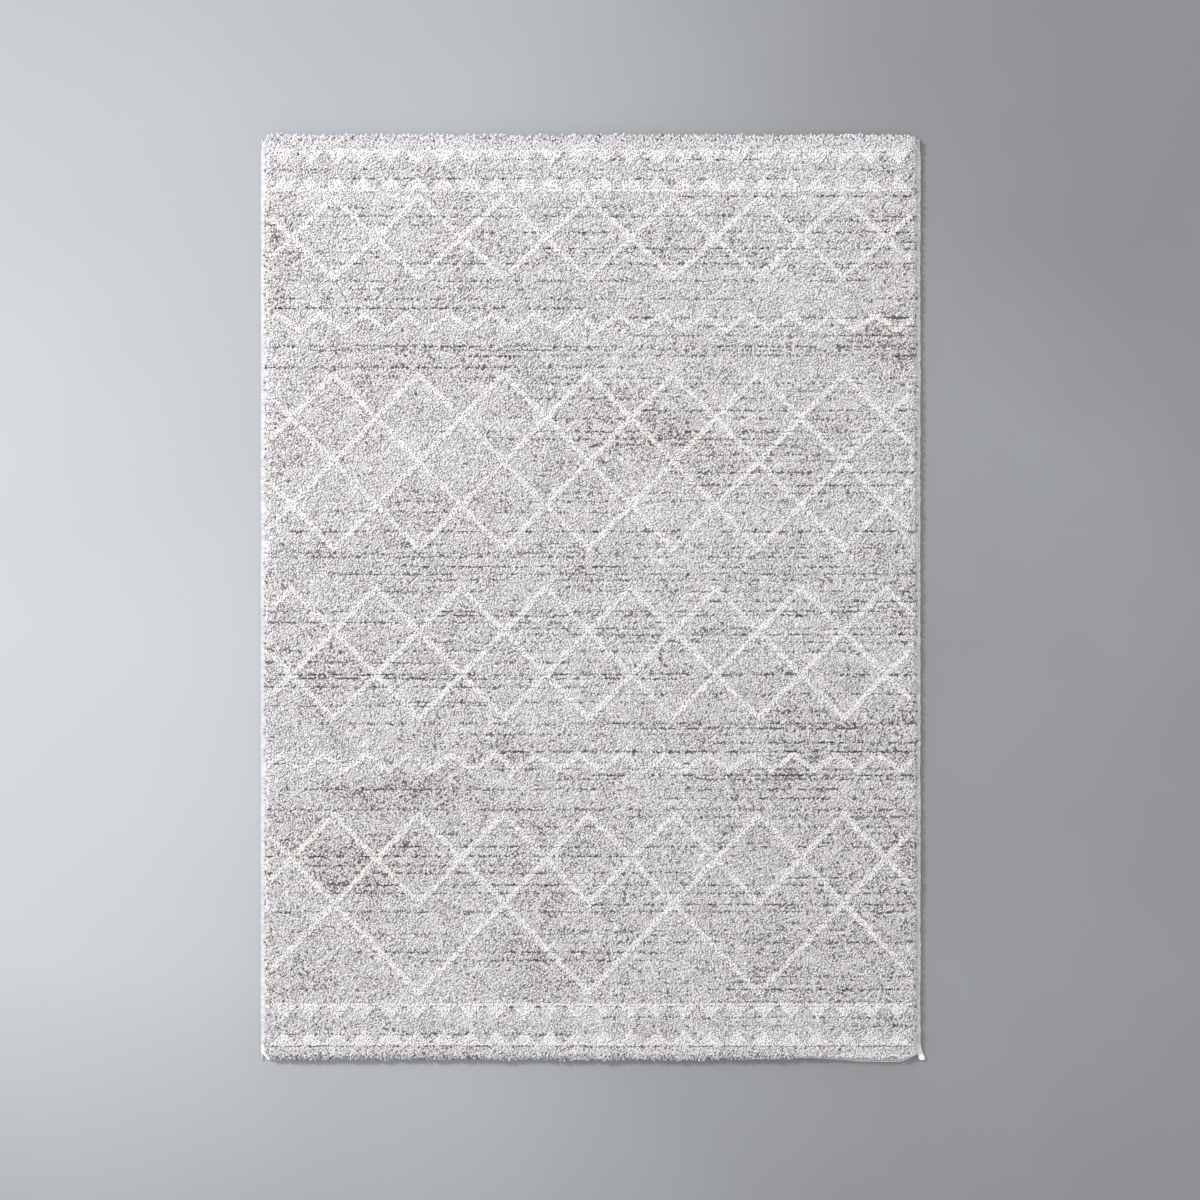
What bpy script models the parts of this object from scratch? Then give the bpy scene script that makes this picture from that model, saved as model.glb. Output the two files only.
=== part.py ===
"""Area rug: marled frieze pile with an ivory lattice pattern, on a woven ground.

Metres, +Z up. The origin is on the floor under the rug's centre, +Y runs along its length towards
the end that holds the single row of diamonds, and +X is to the right of someone looking that way.

From the floor up: a latex back coat, the ground weave, and the pile. The long sides are serged over
a core cord. The two ends are bound with a folded tape, sewn on by one line of thread each.
"""

import math

import bmesh
import bpy
from mathutils import Vector
from mathutils.geometry import delaunay_2d_cdt

# Overall sizes
RUG_WIDTH = 1.600  # over the serged sides
RUG_LENGTH = 2.250  # over the pile that spills past both ends
GAP = 0.0003  # clearance between two pieces that lie against each other

# Layers
COAT_THICK = 0.0012
COAT_CORNER = 0.0005
WEAVE_THICK = 0.0024
PILE_HEIGHT = 0.0190
PILE_ROUND = 0.006  # rounding along the top edge of the pile
ROUND_STEPS = 3
ROOT_LAYER = 0.003  # matted roots that run on under the ivory tufts
ROOT_INSET = 0.0005  # the roots stay this far inside the pile's sides
PILE_SPILL = 0.010  # pile that leans out past the bound ends
CORNER_RADIUS = 0.012
CORNER_STEPS = 4

# Serged sides
SERGE_WIDTH = 0.010
SERGE_WALL = 0.0014  # thickness of the wrapped yarn
SERGE_ROUND = 0.002
SERGE_TAIL = 0.006  # yarn run off past the bottom hem line
CORD_DIAMETER = 0.0044
CORD_SIDES = 12
CORD_RECESS = 0.001  # the cord stops this far inside the serging's end

# Bound ends
TAPE_THICK = 0.0008
TAPE_OVER = 0.008  # leaf on top of the weave
TAPE_UNDER = 0.024  # leaf underneath
THREAD_WIDTH = 0.0012
THREAD_THICK = 0.0005
THREAD_INSET = 0.016  # from the hem line to the line of sewing

# Label on the underside
LABEL_SIZE = (0.060, 0.040)
LABEL_THICK = 0.0004
LABEL_FROM_CORNER = (0.090, 0.080)  # from the coat's side and end to the label's centre

# Ivory pattern
PATTERN_MARGIN = 0.004  # plain pile kept between the pattern and the rounded edge
LINE_WIDTH = 0.012
LINE_END = 0.35  # share of a line's width that it runs past its end point, to close a corner
DIAMOND_PITCH = 0.2055
LATTICE_SHIFT = -0.004  # sideways place of the lattice's middle column
ZIGZAG_PITCH = 0.1031
ZIGZAG_HEIGHT = 0.037
TOOTH_PITCH = 0.0646
TOOTH_SPACE = 0.0066  # between the bases of two teeth
TOOTH_HEIGHT = 0.036
TOOTH_JOIN = 0.004  # strip that joins the bases of a row of teeth
TOOTH_ROWS_APART = 0.028  # between the tips of the two rows at an end
END_PLAIN = 0.042  # plain pile outside the outer row of teeth

# The bands between the two pairs of tooth rows, from the top end down. Each starts after a plain gap
# that is never under LEAST_GAP. What is left of the length is shared out among the gaps, in the
# proportions of the first number of each band.
# A lattice is (share, row height, rows, whether its top peaks are on even columns, open rows). Its
# row height is half a diamond. Its open rows carry every second pair of lines further down.
LEAST_GAP = 0.012
LATTICES = {
    "diamond_band_1": (0.005, 0.0962, 2, True, 0),
    "diamond_band_2": (0.096, 0.1053, 4, True, 0),
    "diamond_band_3": (0.084, 0.1048, 3, False, 0),
    "diamond_band_4": (0.095, 0.1080, 2, True, 2),
}
# A zigzag is (share, sideways place of one of its peaks).
ZIGZAGS = {
    "zigzag_top": (0.078, -0.033),
    "zigzag_bottom": (0.078, -0.026),
}
ORDER = (
    "diamond_band_1",
    "zigzag_top",
    "diamond_band_2",
    "diamond_band_3",
    "zigzag_bottom",
    "diamond_band_4",
)
LAST_SHARE = 0.015

# Heights and half sizes that follow
WEAVE_BOTTOM = COAT_THICK + GAP
WEAVE_TOP = WEAVE_BOTTOM + WEAVE_THICK
PILE_BOTTOM = WEAVE_TOP + GAP
PILE_TOP = PILE_BOTTOM + PILE_HEIGHT
HALF_WIDTH = RUG_WIDTH / 2
HEM_LINE = RUG_LENGTH / 2 - PILE_SPILL
FIELD_X = HALF_WIDTH - SERGE_WIDTH - GAP
CORD_X = HALF_WIDTH - SERGE_WALL - GAP - CORD_DIAMETER / 2
WEAVE_X = CORD_X - CORD_DIAMETER / 2 - GAP
WEAVE_Y = HEM_LINE - TAPE_THICK - GAP
COAT_Y = HEM_LINE - TAPE_UNDER - GAP
PATTERN_X = FIELD_X - PILE_ROUND - PATTERN_MARGIN
TOOTH_BASE = TOOTH_PITCH - TOOTH_SPACE

COLOURS = {  # colour, roughness
    "grey_pile": ((0.60, 0.585, 0.58), 0.95),
    "ivory_pile": ((0.86, 0.84, 0.80), 0.95),
    "weave": ((0.62, 0.56, 0.47), 0.9),
    "latex": ((0.72, 0.70, 0.66), 0.8),
    "serging": ((0.78, 0.75, 0.73), 0.85),
    "cord": ((0.70, 0.66, 0.58), 0.9),
    "tape": ((0.80, 0.78, 0.74), 0.85),
    "thread": ((0.32, 0.30, 0.29), 0.7),
    "label": ((0.85, 0.85, 0.84), 0.6),
}


def clear_scene():
    for ob in list(bpy.data.objects):
        bpy.data.objects.remove(ob, do_unlink=True)


def material(name):
    """The named material, made on first use."""
    found = bpy.data.materials.get(name)
    if found:
        return found
    colour, roughness = COLOURS[name]
    made = bpy.data.materials.new(name)
    made.use_nodes = True
    shader = made.node_tree.nodes["Principled BSDF"]
    shader.inputs["Base Color"].default_value = (*colour, 1.0)
    shader.inputs["Roughness"].default_value = roughness
    shader.inputs["Metallic"].default_value = 0.0
    return made


def add_piece(name, bm, material_name, parent, location=(0.0, 0.0, 0.0)):
    """Turns a bmesh into the named piece of the rug."""
    bmesh.ops.recalc_face_normals(bm, faces=bm.faces)
    mesh = bpy.data.meshes.new(name)
    bm.to_mesh(mesh)
    bm.free()
    mesh.materials.append(material(material_name))
    ob = bpy.data.objects.new(name, mesh)
    ob.location = location
    ob.parent = parent
    bpy.context.collection.objects.link(ob)
    return ob


# ---- plane shapes -------------------------------------------------------------------------------


def rounded_rectangle(half_x, half_y, radius):
    """Points anticlockwise round a rectangle centred on the origin."""
    points = []
    for quarter, (sx, sy) in enumerate(((1, 1), (-1, 1), (-1, -1), (1, -1))):
        for step in range(CORNER_STEPS + 1):
            angle = math.radians(90) * (quarter + step / CORNER_STEPS)
            points.append(
                (
                    sx * (half_x - radius) + radius * math.cos(angle),
                    sy * (half_y - radius) + radius * math.sin(angle),
                )
            )
    return points


def rectangle(centre, size):
    (x, y), (w, h) = centre, (size[0] / 2, size[1] / 2)
    return [(x - w, y - h), (x + w, y - h), (x + w, y + h), (x - w, y + h)]


def grow(outline, distance):
    """The outline with every side moved out by a distance; it runs anticlockwise."""
    grown = []
    for i, here in enumerate(outline):
        here = Vector(here)
        before = (here - Vector(outline[i - 1])).normalized()
        after = (Vector(outline[(i + 1) % len(outline)]) - here).normalized()
        out = Vector((before.y + after.y, -before.x - after.x))
        grown.append(tuple(here + out * distance / (1 + before.dot(after))))
    return grown


def holds(outline, x, y):
    """Whether a point is inside an outline."""
    inside = False
    for (x0, y0), (x1, y1) in zip(outline, outline[1:] + outline[:1]):
        if (y0 > y) != (y1 > y) and x < x0 + (y - y0) * (x1 - x0) / (y1 - y0):
            inside = not inside
    return inside


def tile(outlines):
    """Triangles that cover the outlines and follow every side of each.

    Returns the points, the triangles, and for each point the number of the first given one there.
    """
    points = [Vector(p) for outline in outlines for p in outline]
    sides, start = [], 0
    for outline in outlines:
        n = len(outline)
        sides += [(start + i, start + (i + 1) % n) for i in range(n)]
        start += n
    found, _, triangles, same, _, _ = delaunay_2d_cdt(points, sides, [], 0, 1e-7)
    return found, triangles, [min(s) if s else None for s in same]


# ---- the ivory pattern's outlines ---------------------------------------------------------------


def bar(start, end):
    """A straight line of the pattern between two points, cut off at the pattern's sides."""
    (x0, y0), (x1, y1) = (start, end) if start[0] < end[0] else (end, start)
    slope = (y1 - y0) / (x1 - x0)
    limit = PATTERN_X - LINE_WIDTH / 2  # keeps the corners of a slanting end inside
    low, high = max(x0, -limit), min(x1, limit)
    run = (high - low) * math.hypot(1, slope)
    if run < LINE_WIDTH:
        return None
    a, b = Vector((low, y0 + (low - x0) * slope)), Vector((high, y0 + (high - x0) * slope))
    along = (b - a).normalized()
    across = Vector((-along.y, along.x)) * LINE_WIDTH / 2
    past = along * LINE_WIDTH * LINE_END
    a = a - past if low > -limit else a
    b = b + past if high < limit else b
    return [tuple(a - across), tuple(b - across), tuple(b + across), tuple(a + across)]


def lattice(top, row_height, rows, even, open_rows):
    """Outlines of one diamond band whose top peaks are at height top."""
    column = DIAMOND_PITCH / 2
    bottom, far_bottom = top - rows * row_height, top - (rows + open_rows) * row_height
    reach = math.ceil(HALF_WIDTH / column) + rows + open_rows
    bars = []
    for n in range(-reach, reach + 1):
        if (n % 2 == 0) != even:
            continue
        x = LATTICE_SHIFT + n * column
        for side in (-1, 1):
            foot = n + side * rows  # the column where the line meets the bottom row
            goes_on = open_rows > 0 and foot % 4 == 2
            run = (rows + open_rows if goes_on else rows) * column * side
            bars.append(bar((x, top), (x + run, far_bottom if goes_on else bottom)))
    return [b for b in bars if b]


def zigzag(top, peak_x):
    """Outline of one zigzag line whose peaks' centre line is at height top."""
    half = ZIGZAG_PITCH / 2
    low, high = top - ZIGZAG_HEIGHT, top
    slope = ZIGZAG_HEIGHT / half
    rise = LINE_WIDTH / 2 * math.hypot(1, slope)

    def height(x):
        return low + abs((x - peak_x) / half % 2 - 1) * (high - low)

    first = math.ceil((-PATTERN_X - peak_x) / half)
    last = math.floor((PATTERN_X - peak_x) / half)
    turns = [peak_x + n * half for n in range(first, last + 1)]
    xs = [x for x in turns if PATTERN_X - abs(x) > LINE_WIDTH / 2]
    xs = [-PATTERN_X, *xs, PATTERN_X]
    lower = [(x, height(x) - rise) for x in xs]
    upper = [(x, height(x) + rise) for x in reversed(xs)]
    return [lower + upper]


def tooth_row(base_y, towards):
    """Outline of one row of teeth, pointing up the rug (1) or down it (-1)."""
    count = int(2 * PATTERN_X / TOOTH_PITCH)
    reach = count * TOOTH_PITCH / 2
    shoulder, tip = base_y + towards * TOOTH_JOIN, base_y + towards * TOOTH_HEIGHT
    points = [(-reach, base_y), (reach, base_y), (reach, shoulder)]
    for n in reversed(range(count)):
        x = (n + 0.5) * TOOTH_PITCH - reach
        points += [(x + TOOTH_BASE / 2, shoulder), (x, tip), (x - TOOTH_BASE / 2, shoulder)]
    points.append((-reach, shoulder))
    return [points if towards > 0 else points[::-1]]


def pattern():
    """{piece name: its outlines} for the whole ivory pattern."""
    outer = RUG_LENGTH / 2 - END_PLAIN
    inner = outer - 2 * TOOTH_HEIGHT - TOOTH_ROWS_APART
    pieces = {
        "tooth_row_top_outer": tooth_row(outer, -1),
        "tooth_row_top_inner": tooth_row(inner, 1),
        "tooth_row_bottom_inner": tooth_row(-inner, -1),
        "tooth_row_bottom_outer": tooth_row(-outer, 1),
    }
    heights = {name: spec[1] * (spec[2] + spec[4]) for name, spec in LATTICES.items()}
    heights.update({name: ZIGZAG_HEIGHT for name in ZIGZAGS})
    shares = {name: spec[0] for name, spec in {**LATTICES, **ZIGZAGS}.items()}
    left_over = 2 * inner - sum(heights.values()) - LEAST_GAP * (len(ORDER) + 1)
    stretch = left_over / (sum(shares.values()) + LAST_SHARE)
    y = inner
    for name in ORDER:
        y -= LEAST_GAP + shares[name] * stretch
        if name in LATTICES:
            pieces[name] = lattice(y, *LATTICES[name][1:])
        else:
            pieces[name] = zigzag(y, ZIGZAGS[name][1])
        y -= heights[name]
    return pieces


# ---- solids -------------------------------------------------------------------------------------


def cap(bm, ring, pockets, z, floor):
    """Closes a ring of vertices at height z, with every pocket sunk to the height floor."""
    outlines = [[tuple(v.co.xy) for v in ring], *pockets]
    points, triangles, first = tile(outlines)
    levels = [
        any(holds(p, *(sum((points[i] for i in t), Vector((0, 0))) / 3)) for p in pockets)
        for t in triangles
    ]
    made = {}

    def vertex(i, sunk):
        if not sunk and first[i] is not None and first[i] < len(ring):
            return ring[first[i]]
        if (i, sunk) not in made:
            made[i, sunk] = bm.verts.new((*points[i], floor if sunk else z))
        return made[i, sunk]

    sides = {}
    for triangle, sunk in zip(triangles, levels):
        bm.faces.new([vertex(i, sunk) for i in triangle])
        for a, b in zip(triangle, triangle[1:] + triangle[:1]):
            sides.setdefault(frozenset((a, b)), []).append(sunk)
    for side, touching in sides.items():
        if len(set(touching)) == 2:
            a, b = side
            bm.faces.new([vertex(a, False), vertex(b, False), vertex(b, True), vertex(a, True)])


def plate(rings, top_pockets=(), top_floor=0.0, bottom_pockets=(), bottom_floor=0.0):
    """A flat body through rings of (half x, half y, corner radius, z), from the lowest up."""
    bm = bmesh.new()
    loops = [
        [bm.verts.new((x, y, z)) for x, y in rounded_rectangle(half_x, half_y, radius)]
        for half_x, half_y, radius, z in rings
    ]
    for low, high in zip(loops, loops[1:]):
        for i in range(len(low)):
            bm.faces.new((low[i - 1], low[i], high[i], high[i - 1]))
    cap(bm, loops[0], bottom_pockets, rings[0][3], bottom_floor)
    cap(bm, loops[-1], top_pockets, rings[-1][3], top_floor)
    return bm


def inlay(outlines, thickness):
    """The union of some outlines as a flat body standing on z = 0."""
    bm = bmesh.new()
    points, triangles, _ = tile(outlines)
    made = {}
    for triangle in triangles:
        centre = sum((points[i] for i in triangle), Vector((0, 0))) / 3
        if any(holds(p, *centre) for p in outlines):
            for i in triangle:
                if i not in made:
                    made[i] = bm.verts.new((*points[i], 0))
            bm.faces.new([made[i] for i in triangle])
    raised = bmesh.ops.extrude_face_region(bm, geom=bm.faces[:], use_keep_orig=True)
    for item in raised["geom"]:
        if isinstance(item, bmesh.types.BMVert):
            item.co.z += thickness
    return bm


def prism(profile, start, end, place):
    """A profile of (u, z) points swept from start to end; place(u, s) gives its x and y."""
    bm = bmesh.new()
    ends = [[bm.verts.new((*place(u, s), z)) for u, z in profile] for s in (start, end)]
    for i in range(len(profile)):
        bm.faces.new((ends[0][i - 1], ends[0][i], ends[1][i], ends[1][i - 1]))
    bm.faces.new(ends[0])
    bm.faces.new(ends[1])
    return bm


def corner_arc(centre_u, centre_z, radius, start_degrees):
    """A quarter turn of points, clockwise from the start angle."""
    angles = [math.radians(start_degrees - 90 * i / CORNER_STEPS) for i in range(CORNER_STEPS + 1)]
    return [(centre_u + radius * math.cos(a), centre_z + radius * math.sin(a)) for a in angles]


# ---- the pieces ---------------------------------------------------------------------------------


def make_pile(parent):
    """The grey field with a channel for each ivory inlay, and the inlays."""
    pieces = pattern()
    channels = [grow(outline, GAP) for outlines in pieces.values() for outline in outlines]
    root_y = HEM_LINE - TAPE_OVER - GAP
    spill_z = WEAVE_TOP + GAP + TAPE_THICK + GAP
    outer_y = RUG_LENGTH / 2
    rings = [
        (FIELD_X - ROOT_INSET, root_y, CORNER_RADIUS, PILE_BOTTOM),
        (FIELD_X - ROOT_INSET, root_y, CORNER_RADIUS, spill_z),
        (FIELD_X, outer_y, CORNER_RADIUS, spill_z),
    ]
    for step in range(ROUND_STEPS + 1):
        angle = math.radians(90) * step / ROUND_STEPS
        inset = PILE_ROUND * (1 - math.cos(angle))
        z = PILE_TOP - PILE_ROUND * (1 - math.sin(angle))
        rings.append((FIELD_X - inset, outer_y - inset, CORNER_RADIUS, z))
    floor = PILE_BOTTOM + ROOT_LAYER
    field = plate(rings, top_pockets=channels, top_floor=floor)
    add_piece("field_pile", field, "grey_pile", parent)
    for name, outlines in pieces.items():
        body = inlay(outlines, PILE_TOP - floor - GAP)
        add_piece(name, body, "ivory_pile", parent, (0, 0, floor + GAP))


def make_ground(parent):
    """The woven ground, the latex coat under it, and the label stuck into the coat."""
    weave = plate(
        [(WEAVE_X, WEAVE_Y, CORNER_RADIUS, z) for z in (WEAVE_BOTTOM, WEAVE_TOP)]
    )
    add_piece("ground_weave", weave, "weave", parent)
    centre = (-FIELD_X + LABEL_FROM_CORNER[0], -COAT_Y + LABEL_FROM_CORNER[1])
    pocket = grow(rectangle(centre, LABEL_SIZE), GAP)
    coat = plate(
        [(FIELD_X, COAT_Y, COAT_CORNER, z) for z in (0, COAT_THICK)],
        bottom_pockets=[pocket],
        bottom_floor=LABEL_THICK + GAP,
    )
    add_piece("back_coat", coat, "latex", parent)
    label = inlay([rectangle((0, 0), LABEL_SIZE)], LABEL_THICK)
    add_piece("care_label", label, "label", parent, (*centre, 0))


def serge_profile():
    """The serging's section: u is measured inwards from the rug's outer edge."""
    cavity_low, cavity_high = WEAVE_BOTTOM - GAP, WEAVE_BOTTOM + CORD_DIAMETER + GAP
    top = cavity_high + SERGE_WALL
    cord_end = SERGE_WALL + GAP + CORD_DIAMETER + GAP
    outer = [(SERGE_WIDTH, 0.0), (SERGE_ROUND, 0.0)]
    outer += corner_arc(SERGE_ROUND, SERGE_ROUND, SERGE_ROUND, 270)[1:]
    outer += corner_arc(SERGE_ROUND, top - SERGE_ROUND, SERGE_ROUND, 180)
    outer += corner_arc(SERGE_WIDTH - SERGE_ROUND, top - SERGE_ROUND, SERGE_ROUND, 90)
    inner = [
        (SERGE_WIDTH, WEAVE_TOP + GAP),
        (cord_end, WEAVE_TOP + GAP),
        (cord_end, cavity_high),
        (SERGE_WALL, cavity_high),
        (SERGE_WALL, cavity_low),
        (SERGE_WIDTH, cavity_low),
    ]
    return outer + inner


def make_serged_sides(parent):
    """Yarn wrapped over a core cord and the weave's edge, along each long side."""
    top_end, bottom_end = HEM_LINE, -HEM_LINE - SERGE_TAIL
    for side, name in ((-1, "left"), (1, "right")):
        wrap = prism(
            serge_profile(), bottom_end, top_end, lambda u, s: (side * (HALF_WIDTH - u), s)
        )
        add_piece("serging_" + name, wrap, "serging", parent)
        radius = CORD_DIAMETER / 2
        turn = math.radians(360 / CORD_SIDES)
        circle = [
            (radius * math.cos(turn * i), radius * math.sin(turn * i)) for i in range(CORD_SIDES)
        ]
        cord = prism(
            circle, bottom_end + CORD_RECESS, top_end - CORD_RECESS, lambda u, s: (u, s)
        )
        place = (side * CORD_X, 0, WEAVE_BOTTOM + radius)
        add_piece("serge_cord_" + name, cord, "cord", parent, place)


def tape_profile():
    """The binding tape's folded section: u is measured inwards from the hem line."""
    top = WEAVE_TOP + GAP + TAPE_THICK
    groove = THREAD_WIDTH / 2 + GAP
    return [
        (0.0, 0.0),
        (0.0, top),
        (TAPE_OVER, top),
        (TAPE_OVER, WEAVE_TOP + GAP),
        (TAPE_THICK, WEAVE_TOP + GAP),
        (TAPE_THICK, COAT_THICK),
        (TAPE_UNDER, COAT_THICK),
        (TAPE_UNDER, 0.0),
        (THREAD_INSET + groove, 0.0),
        (THREAD_INSET + groove, THREAD_THICK + GAP),
        (THREAD_INSET - groove, THREAD_THICK + GAP),
        (THREAD_INSET - groove, 0.0),
    ]


def make_bound_ends(parent):
    """A tape folded over each end of the weave, and the line of thread that holds it."""
    for end, name in ((1, "top"), (-1, "bottom")):
        tape = prism(
            tape_profile(), -FIELD_X, FIELD_X, lambda u, s: (s, end * (HEM_LINE - u))
        )
        add_piece("end_tape_" + name, tape, "tape", parent)
        size = (2 * FIELD_X, THREAD_WIDTH)
        thread = inlay([rectangle((0, 0), size)], THREAD_THICK)
        place = (0, end * (HEM_LINE - THREAD_INSET), 0)
        add_piece("hem_thread_" + name, thread, "thread", parent, place)


def main():
    clear_scene()
    rug = bpy.data.objects.new("rug", None)
    bpy.context.collection.objects.link(rug)
    make_pile(rug)
    make_ground(rug)
    make_serged_sides(rug)
    make_bound_ends(rug)


main()
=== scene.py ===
"""The looks of the area rug: a marled frieze pile with an ivory lattice, on a woven ground.

Metres, +Z up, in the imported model's frame: the rug lies on the floor at z = 0, +Y is its top end
and +X its right side. The pile is made of real tufts, each a bent and twisted yarn. The ivory ones
stand where the CAD's ivory inlays are, so the pattern's places come from the frame.
"""

import math

import bpy
import numpy as np
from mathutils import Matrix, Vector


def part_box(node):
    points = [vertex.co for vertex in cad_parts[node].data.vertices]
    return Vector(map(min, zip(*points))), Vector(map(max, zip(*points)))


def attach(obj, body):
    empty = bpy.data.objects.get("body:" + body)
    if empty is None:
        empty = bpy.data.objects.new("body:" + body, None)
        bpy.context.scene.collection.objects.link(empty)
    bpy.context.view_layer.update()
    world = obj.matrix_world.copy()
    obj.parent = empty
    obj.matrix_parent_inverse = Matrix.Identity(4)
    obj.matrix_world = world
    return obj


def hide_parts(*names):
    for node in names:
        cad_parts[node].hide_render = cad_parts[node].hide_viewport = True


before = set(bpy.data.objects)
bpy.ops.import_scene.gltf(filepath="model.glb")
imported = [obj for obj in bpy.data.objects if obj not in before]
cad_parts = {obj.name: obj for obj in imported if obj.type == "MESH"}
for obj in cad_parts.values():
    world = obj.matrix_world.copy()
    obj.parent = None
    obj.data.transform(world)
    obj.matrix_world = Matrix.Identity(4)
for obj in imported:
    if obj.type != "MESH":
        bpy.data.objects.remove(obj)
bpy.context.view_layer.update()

# ---- places read from the frame -----------------------------------------------------------------

IVORY_NODES = sorted(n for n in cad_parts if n.startswith(("tooth_row", "diamond", "zigzag")))
FIELD_LOW, FIELD_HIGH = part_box("field_pile")
PILE_X, PILE_TOP, PILE_BOTTOM = FIELD_HIGH.x, FIELD_HIGH.z, FIELD_LOW.z
WEAVE_LOW, WEAVE_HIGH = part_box("ground_weave")
COAT_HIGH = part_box("back_coat")[1]
TAPE_LOW, TAPE_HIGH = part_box("end_tape_top")
HEM_Y = TAPE_HIGH.y  # the rug's folded end, which the pile leans out past
SERGE_LOW, SERGE_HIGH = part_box("serging_right")
THREAD_LOW, THREAD_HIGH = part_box("hem_thread_top")
LABEL_LOW, LABEL_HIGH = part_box("care_label")
CORD_LOW, CORD_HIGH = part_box("serge_cord_right")

# ---- design values ------------------------------------------------------------------------------

# View, light and floor
VIEW_WIDTH = 2.903  # what the camera sees across, at the pile's top
VIEW_CENTRE = (0.0224, -0.0054)
VIEW_REACH = 100.0  # the most distant thing that the camera shows
LENS_MM, SENSOR_MM = 100.0, 36.0
KEY_PLACE, KEY_SIZE, KEY_POWER = (-6.3, 4.3, 6.7), 2.0, 830.0
FILL_LIGHT, FILL_COLOUR = 0.88, (0.95, 0.97, 1.0, 1.0)
FLOOR_HALF = 30.0
# The floor's colour on its left, and the painted shade that it darkens to towards the right, for
# the light's falloff
FLOOR_PALE, FLOOR_PAINTED_SHADE = (0.438, 0.455, 0.474, 1), (0.198, 0.199, 0.207, 1)

# Tufts
ROW_PITCH = 0.0042
TUFT_PITCH = 0.0040
ROOT_JITTER = 0.0012
TUFT_REACH = 0.0056  # from root to tip, seen from above, before it varies
LESS_REACH = 0.0030  # by so much less where the pile is brushed up
NAP = 0.0008  # lean of the whole pile towards the bottom end
BEND_DEPTH = 0.0012  # of the tufts' bends under the top of the CAD's pile
BEND_PLACE = 0.22  # of a tuft, as a share of its reach
IVORY_RISE = 0.0018  # of the ivory tufts' bends over the grey ones'
TOOTH_LEAN, IVORY_LEAN, BESIDE_LEAN = 0.5, 0.8, 0.7  # shares of the usual lean
BESIDE_REACH = 0.007  # grey tufts this near an ivory line are beside it
YARN_RADIUS = 0.0031
SOFTNESS = 3.5  # how far the yarn's shading turns towards that of a smooth pile
END_SOFTNESS = 0.5  # the same on the pile's end faces, END_FACE deep
END_FACE = 0.010
IVORY_FOOT_PAINTED_SHADE, GREY_FOOT_PAINTED_SHADE = 1.0, 0.90  # painted shade at the tufts' feet: the share of their colour kept where they stand deep in the pile
YARN_TWIST = 2.2  # turn of the yarn's section from its root to its tip, in radians
RING_PLACES = (0.0, 0.5, 0.86)  # along the yarn; its tip is one more point
SECTION_SIDES = 3
PLY_PITCH = 0.0045  # one turn of the two plies
BED_TOP = 0.0208  # the matted pile under the tufts that are modelled one by one
ROOT_DEPTH = 0.002  # of the tufts' starts in it
MOST_TRIANGLES = 190_000  # in one mesh

# The pile's edge
PILE_CORNER = 0.012  # radius of the pile's corners, seen from above
END_ROWS = 7  # rows with tufts set between the others, at each end, where the pile fans out
END_DROP = 0.012  # over this distance from the pile's edge its tufts start lower down
EDGE_FALL = 0.0026  # how much lower the tufts at the edge bend
DROOP = 0.011  # the most that an end's outermost tufts hang lower still
TOP_SPILL, BOTTOM_SPILL = 0.0125, 0.0085  # how far the pile leans out past the folds
END_PUSH, SIDE_PUSH = 0.007, 0.005  # how deep into the pile that outward lean reaches
SIDE_LEAN = 0.0028

# The bottom end's fold, and its pile that draws back from it towards the right
BARE_X = 0.475
SAG, SAG_X = 0.010, 0.50
RIGHT_TURN, RIGHT_TURN_X = 0.018, 0.745
LEFT_TURN, LEFT_TURN_X = 0.014, -0.765
TURN_Y = -1.04  # below here the cloth goes up with the fold at the corners

# Rows where the pile has parted
PART_WIDTH = 0.0026
PART_LEAN = 0.0044  # of the tufts beside it
PART_DEPTH = 0.0050

# Ivory lines
LINE_WOBBLE = 0.0013
MAP_CELL = 0.001
FADED_SHARE = 0.13  # of the tufts in the diamonds and zigzags are grey

# Colours of the grey and the ivory yarn, with how often each comes up
GREY_YARNS = (
    ((0.81, 0.785, 0.795), 0.44),
    ((0.77, 0.745, 0.755), 0.33),
    ((0.67, 0.645, 0.655), 0.14),
    ((0.45, 0.420, 0.420), 0.060),
    ((0.18, 0.160, 0.158), 0.030),
)
IVORY_YARNS = (
    ((0.93, 0.91, 0.89), 0.80),
    ((0.88, 0.86, 0.84), 0.20),
)
HUE_SPREAD = (0.016, -0.010, 0.004)
WARMTH_SPREAD = (0.006, 0.002, -0.012)
LIGHT_SPREAD = 0.035
BRUSHED_TINT = (0.0, 0.020, 0.050)  # share that is lost where the pile is brushed up

# Serging: where it strays from its line, its pale and deep yarn and its beads' size
FLARE, FLARE_Y = 0.011, -1.088
NARROW_Y = 1.070
WHITE_Y, OPEN_Y, THIN_Y = -1.078, -1.082, -1.106  # below these it is white, open, then thin
SERGE_LOOKS = {
    "left": ((0.72, 0.71, 0.71), (0.50, 0.49, 0.495), 0.0010),
    "right": ((0.90, 0.85, 0.84), (0.62, 0.56, 0.55), 0.0015),
}
TAIL_YARN = (0.84, 0.83, 0.83)  # the serging's loose end

# Places where feet have brushed the pile up: centre, half size, strength
BRUSHED = (
    ((-0.755, 0.815), (0.055, 0.170), 0.55),
    ((-0.330, 0.870), (0.140, 0.060), 0.35),
    ((0.720, 0.620), (0.080, 0.090), 0.60),
    ((0.190, 0.400), (0.090, 0.045), 0.45),
    ((0.100, 0.480), (0.130, 0.050), 0.35),
    ((-0.440, -0.470), (0.270, 0.045), 0.50),
    ((-0.250, -0.370), (0.100, 0.040), 0.35),
    ((-0.560, -0.660), (0.110, 0.080), 0.40),
)

rng = np.random.default_rng(20240611)


# ---- numbers ------------------------------------------------------------------------------------


def smooth_step(t):
    t = np.clip(t, 0.0, 1.0)
    return t * t * (3 - 2 * t)


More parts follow.
